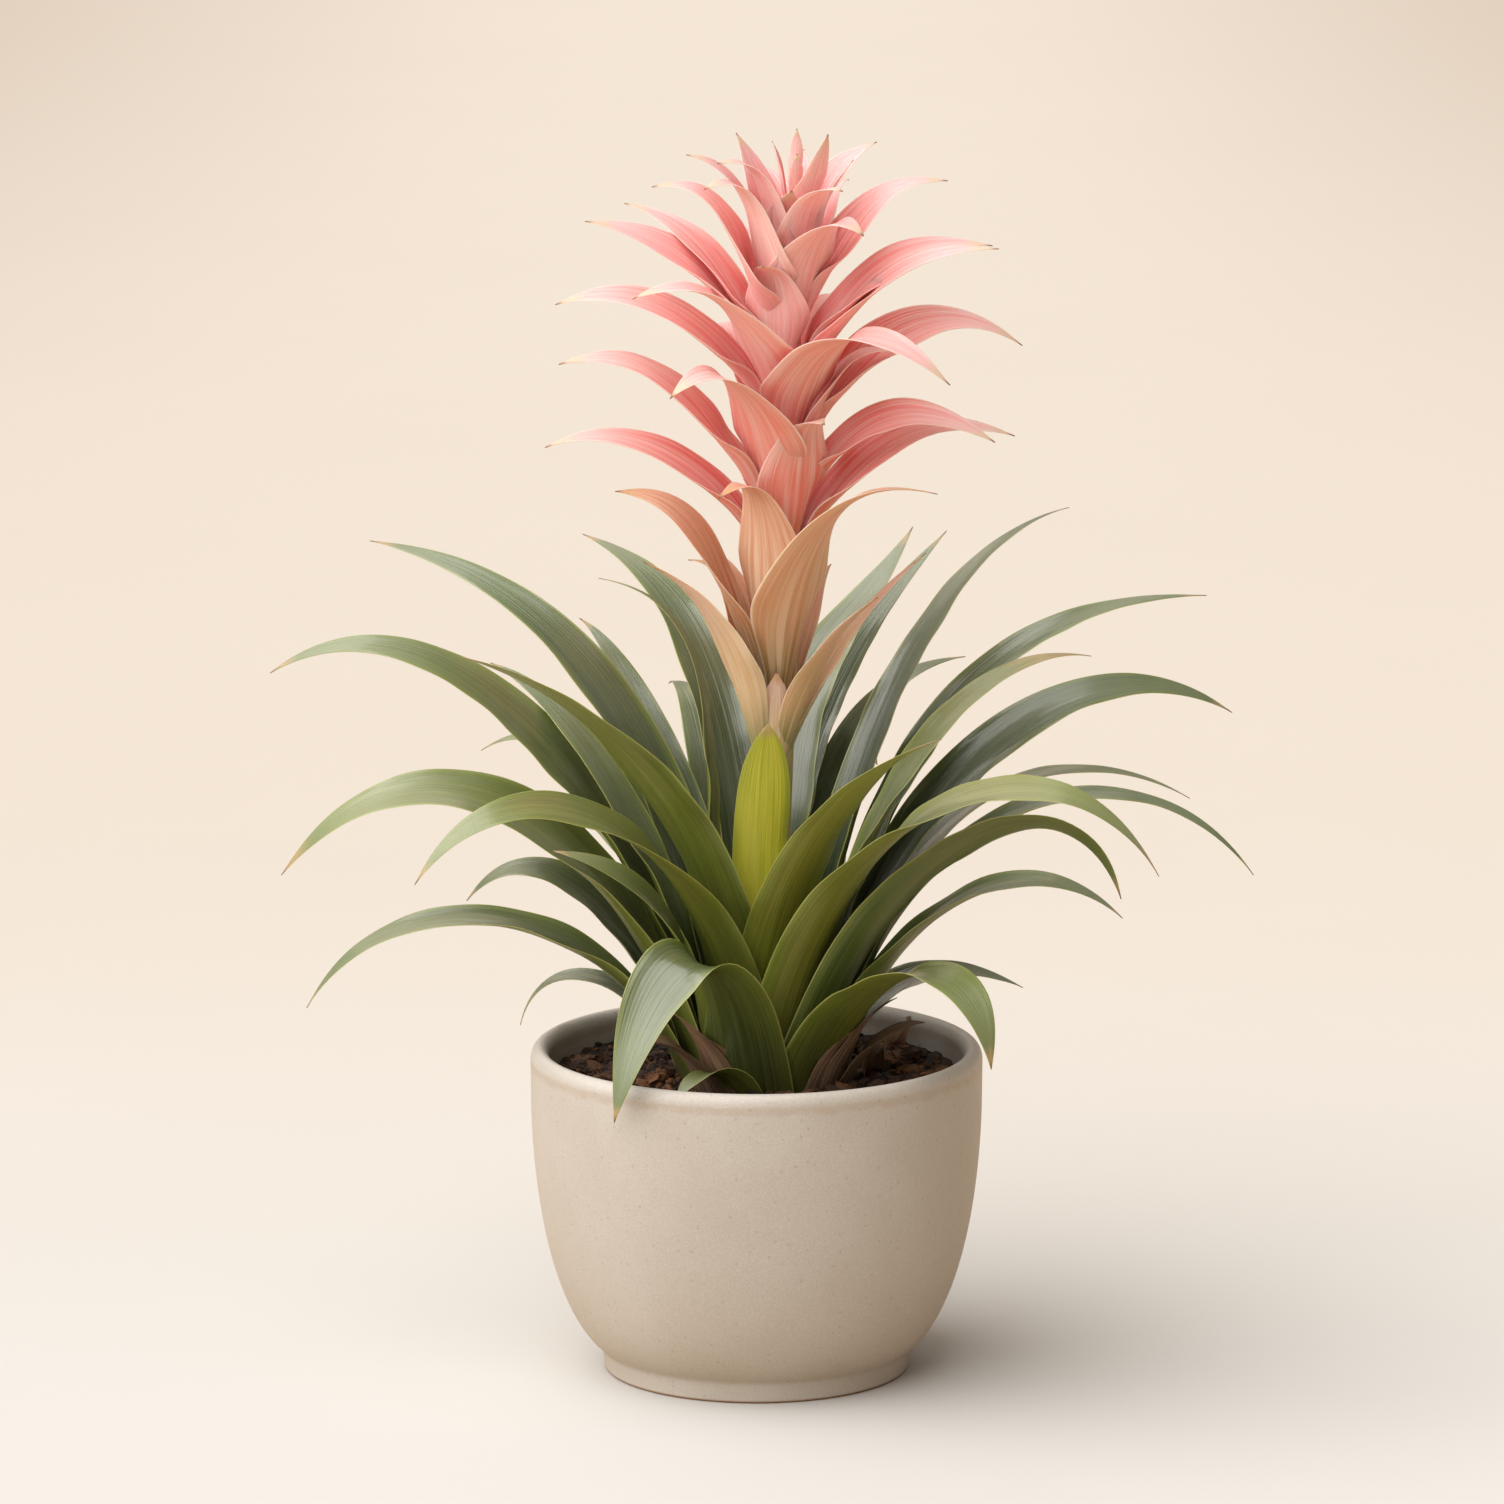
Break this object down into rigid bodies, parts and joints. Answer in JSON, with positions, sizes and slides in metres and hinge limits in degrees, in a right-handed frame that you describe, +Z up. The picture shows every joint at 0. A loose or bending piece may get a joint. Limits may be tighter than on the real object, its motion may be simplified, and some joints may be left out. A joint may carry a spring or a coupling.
{
  "type": "potted guzmania",
  "caption": "Bromeliad with a rosette of arching strap leaves and a leaning spike of coral bracts, growing in bark mix in a round low-footed stoneware pot.",
  "frame": {"origin": "middle of the pot's flat underside", "axes": "+Z up along the plant, +X the side that the flower spike leans to, -Y the side seen in the picture"},
  "size_m": [0.3698, 0.258, 0.47],
  "materials": {
    "stoneware": "satin, finely speckled",
    "bark_mix": "rough, loose bark and peat",
    "leaf": "semi-gloss, fine lengthwise veins",
    "stem": "satin, tan running to green",
    "bract": "satin, coral with pale veins and edges"
  },
  "bodies": {
    "root": {"pot": "stoneware", "potting_mix": "bark_mix", "flower_stem": "stem", "flower_head": "bract", "rosette_leaf_01": "leaf", "rosette_leaf_02": "leaf", "rosette_leaf_03": "leaf", "rosette_leaf_04": "leaf", "rosette_leaf_05": "leaf", "rosette_leaf_06": "leaf", "rosette_leaf_07": "leaf", "rosette_leaf_08": "leaf", "rosette_leaf_09": "leaf", "rosette_leaf_10": "leaf", "rosette_leaf_11": "leaf", "rosette_leaf_12": "leaf", "rosette_leaf_13": "leaf", "rosette_leaf_14": "leaf", "rosette_leaf_15": "leaf", "rosette_leaf_16": "leaf", "rosette_leaf_17": "leaf", "rosette_leaf_18": "leaf", "rosette_leaf_19": "leaf", "rosette_leaf_20": "leaf", "rosette_leaf_21": "leaf", "rosette_leaf_22": "leaf", "rosette_leaf_23": "leaf", "rosette_leaf_24": "leaf", "rosette_leaf_25": "leaf", "rosette_leaf_26": "leaf", "rosette_leaf_27": "leaf", "rosette_leaf_28": "leaf", "rosette_leaf_29": "leaf", "rosette_leaf_30": "leaf", "rosette_leaf_31": "leaf", "rosette_leaf_32": "leaf", "rosette_leaf_33": "leaf", "rosette_leaf_34": "leaf", "rosette_leaf_35": "leaf", "rosette_leaf_36": "leaf", "rosette_leaf_37": "leaf"}
  },
  "joints": []
}
